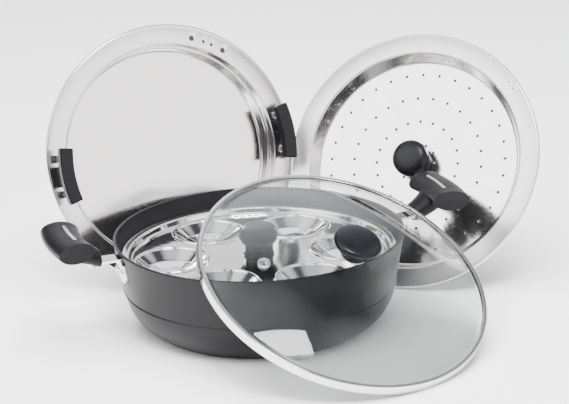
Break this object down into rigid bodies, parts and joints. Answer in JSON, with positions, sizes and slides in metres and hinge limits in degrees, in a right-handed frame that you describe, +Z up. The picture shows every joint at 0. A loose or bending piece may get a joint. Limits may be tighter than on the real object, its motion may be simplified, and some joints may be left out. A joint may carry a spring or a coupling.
{
  "type": "idli steamer",
  "caption": "Wide two-handled steamer pan with a cup plate inside, a domed glass lid leaning on its rim and two round steel steaming trays standing behind it.",
  "frame": {"origin": "centre of the pan's flat underside, on the table", "axes": "+Z up along the pan's axis; +X to the right and +Y to the back as the set is shown, with the lid in front and the trays behind"},
  "size_m": [0.4902, 0.4305, 0.2522],
  "materials": {
    "hard_anodised": "satin hard-anodised",
    "grip_plastic": "fine-grained, satin",
    "chrome_trim": "polished",
    "polished_bracket": "polished",
    "fastener_steel": "plain",
    "mirror_steel": "mirror polished",
    "band_steel": "polished",
    "clear_glass": "clear, faintly grey-green",
    "knob_plastic": "satin",
    "lid_knob_plastic": "gloss",
    "brass_insert": "turned",
    "silicone": "soft matt"
  },
  "bodies": {
    "pan": {"handle_left_bracket": "polished_bracket", "handle_left_grip": "grip_plastic", "handle_left_rivets": "polished_bracket", "handle_left_screw": "fastener_steel", "handle_left_stripe": "chrome_trim", "handle_right_bracket": "polished_bracket", "handle_right_grip": "grip_plastic", "handle_right_rivets": "polished_bracket", "handle_right_screw": "fastener_steel", "handle_right_stripe": "chrome_trim", "pan_body": "hard_anodised"},
    "idli_plate_body": {"idli_plate": "mirror_steel", "plate_knob": "knob_plastic", "plate_knob_insert": "brass_insert", "plate_knob_screw": "fastener_steel", "plate_knob_washer": "fastener_steel"},
    "lid": {"lid_band": "band_steel", "lid_gasket": "silicone", "lid_glass": "clear_glass", "lid_knob": "lid_knob_plastic", "lid_knob_insert": "brass_insert", "lid_knob_screw": "fastener_steel", "lid_knob_washer": "fastener_steel", "lid_vent": "band_steel"},
    "solid_tray_body": {"solid_tray": "mirror_steel", "tray_grip_left": "knob_plastic", "tray_grip_left_screws": "fastener_steel", "tray_grip_right": "knob_plastic", "tray_grip_right_screws": "fastener_steel"},
    "perforated_tray_body": {"perforated_tray": "mirror_steel", "tray_knob": "knob_plastic", "tray_knob_insert": "brass_insert", "tray_knob_screw": "fastener_steel", "tray_knob_washer": "fastener_steel"}
  },
  "joints": [
    {"name": "lid_lift", "type": "slide", "parent": "pan", "child": "lid", "axis": [0.2912, -0.3704, 0.882], "range_m": [0, 0.12]},
    {"name": "plate_lift", "type": "slide", "parent": "pan", "child": "idli_plate_body", "axis": [0, 0, 1], "range_m": [0, 0.06]},
    {"name": "solid_tray_lift", "type": "slide", "parent": "pan", "child": "solid_tray_body", "axis": [-0.1142, 0.28, 0.9532], "range_m": [0, 0.08]},
    {"name": "perforated_tray_lift", "type": "slide", "parent": "pan", "child": "perforated_tray_body", "axis": [0.2112, 0.4549, 0.8652], "range_m": [0, 0.08]}
  ],
  "couplings": [
    {"joint": "plate_lift", "follows": "lid_lift", "ratio": 0.5}
  ]
}
